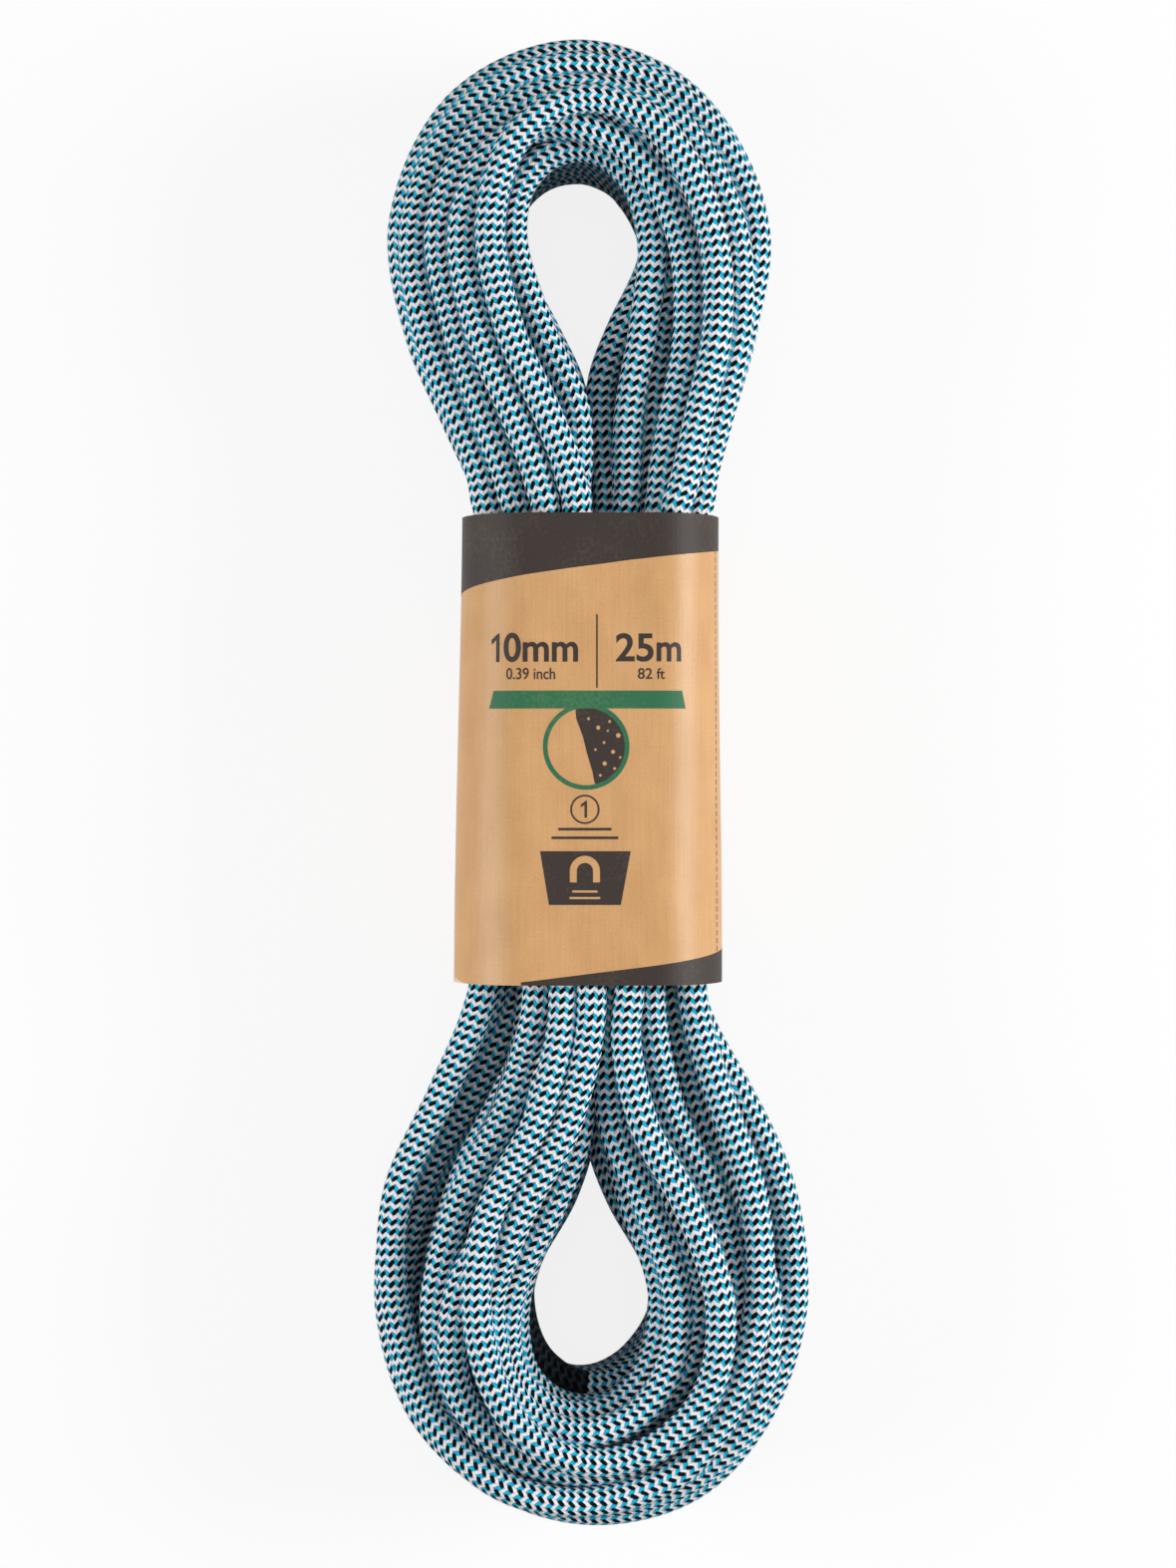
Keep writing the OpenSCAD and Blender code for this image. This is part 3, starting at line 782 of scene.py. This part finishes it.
# The sizes' divider, and under it the bar, the ring and a wall with holds in it
print_on_card("divider", artwork([box(0.85, 29.9, 1.35, 53.7)]), dark_ink)
print_on_card("green_bar", artwork([[(-34.4, 23.2), (31.2, 23.2), (29.8, 29), (-32.8, 29)]]),
              green_ink)
RING, RING_OUT, RING_IN = (-2.4, 10.9), 14, 12.5     # middle and radii; its top runs into the bar
print_on_card("green_ring", artwork(
    [arc(*RING, RING_OUT, 118.5, 421.5) + arc(*RING, RING_IN, 439.7, 100.3)]), green_ink)
wall = (arc(*RING, RING_IN, -76, 79.7, 52) + arc(*RING, RING_IN, 100.3, 106, 3)
        + [(-5.6, 20), (-3.4, 14), (-2.2, 9), (-0.4, 3), (0.3, -0.6)])
holds = [(1.5, 17, 0.7), (5.2, 19, 0.5), (8, 14.5, 0.8), (3.4, 12.2, 0.5), (6.3, 9.2, 0.7),
         (0.6, 9.9, 0.45), (8.6, 7.4, 0.45), (3.6, 5.4, 0.75), (6.8, 3.8, 0.5), (2.2, 1.6, 0.5),
         (-1.6, 19.9, 0.5), (4.6, 16, 0.4)]
print_on_card("wall_sign", artwork([wall] + [arc(x, y, r, count=8) for x, y, r in holds]), dark_ink)

# The round sign, two bars, and the sign for the rope's middle mark
print_on_card("one_ring", artwork([arc(-2.8, -9.4, 4.75), arc(-2.8, -9.4, 4.15)]), dark_ink)
print_on_card("one_figure", artwork([[(-4.1 + 3.2 * x, -12.1 + 5.5 * y) for x, y in one]]), dark_ink)
for row, (left, right, y) in enumerate(((-11.4, 5.8, -15.8), (-13.6, 8, -18.6))):
    print_on_card(f"sign_bar_{row}", artwork([box(left, y - 0.45, right, y + 0.45)]), dark_ink)
arch = ([(2.1, -33)] + arc(-2.8, -29.3, 4.9, 0, 180, 25) + [(-7.7, -33), (-5.4, -33)]
        + arc(-2.8, -29.3, 2.6, 180, 0, 25) + [(-0.2, -33)])
print_on_card("middle_sign", artwork([
    [(-17.3, -22.9), (-14.4, -40.3), (8.8, -40.3), (12, -22.9)], arch,
    box(-6.9, -36.3, 1.3, -35.6), box(-7.8, -38.4, 2.2, -37.7)]), dark_ink)


# Floor, backdrop and studio light: a pale floor that shows as white and keeps a soft shadow, one
# large soft lamp to the right of the hank, a weaker one to its left and a faint one above.
bpy.ops.object.select_all(action="DESELECT")
bpy.ops.mesh.primitive_plane_add(size=6, location=(0, 0, -0.0003))
floor = bpy.context.active_object
floor.name = "floor"
FLOOR_GREY, FLOOR_SEEN = (0.5, 0.5, 0.5, 1), (0.95, 0.95, 0.95, 1)   # to the hank, and to the eye
GLOW = 0.85                             # share of plain white in what the eye sees
pale, start = new_material("floor")
camera_ray, glossy_ray, transmission_ray = (
    start.node("LightPath", output=f"Is {kind} Ray") for kind in ("Camera", "Glossy", "Transmission"))
direct = start.math("MINIMUM", camera_ray + glossy_ray + transmission_ray, 1)
dress(pale, Base_Color=start.mix(direct, FLOOR_GREY, FLOOR_SEEN), Roughness=0.9)
white = start.node("Emission", inputs={"Color": (1, 1, 1, 1), "Strength": 1.0})
tree = pale.node_tree
blend = start.node("MixShader", inputs={0: direct * GLOW, 2: white})
tree.links.new(tree.nodes["Principled BSDF"].outputs[0], blend.socket.node.inputs[1])
tree.links.new(blend.socket, tree.nodes["Material Output"].inputs["Surface"])
floor.data.materials.append(pale)

world = bpy.data.worlds.new("studio")
bpy.context.scene.world = world
world.use_nodes = True
world.node_tree.nodes["Background"].inputs["Color"].default_value = (1, 1, 1, 1)
world.node_tree.nodes["Background"].inputs["Strength"].default_value = 0.18


def softbox(name, place, size, power):
    """A square lamp that faces the hank."""
    data = bpy.data.lights.new(name, "AREA")
    data.size = size
    data.energy = power
    lamp = bpy.data.objects.new(name, data)
    bpy.context.collection.objects.link(lamp)
    lamp.location = place
    lamp.rotation_euler = (-lamp.location).to_track_quat("-Z", "Y").to_euler()


softbox("key_light", (1.25, 0.1, 0.75), 0.7, 19)
softbox("top_light", (0.0, 0.1, 1.7), 0.6, 3)
softbox("left_light", (-1.25, -0.15, 0.75), 0.8, 13.5)

bpy.context.scene.view_settings.view_transform = "Standard"
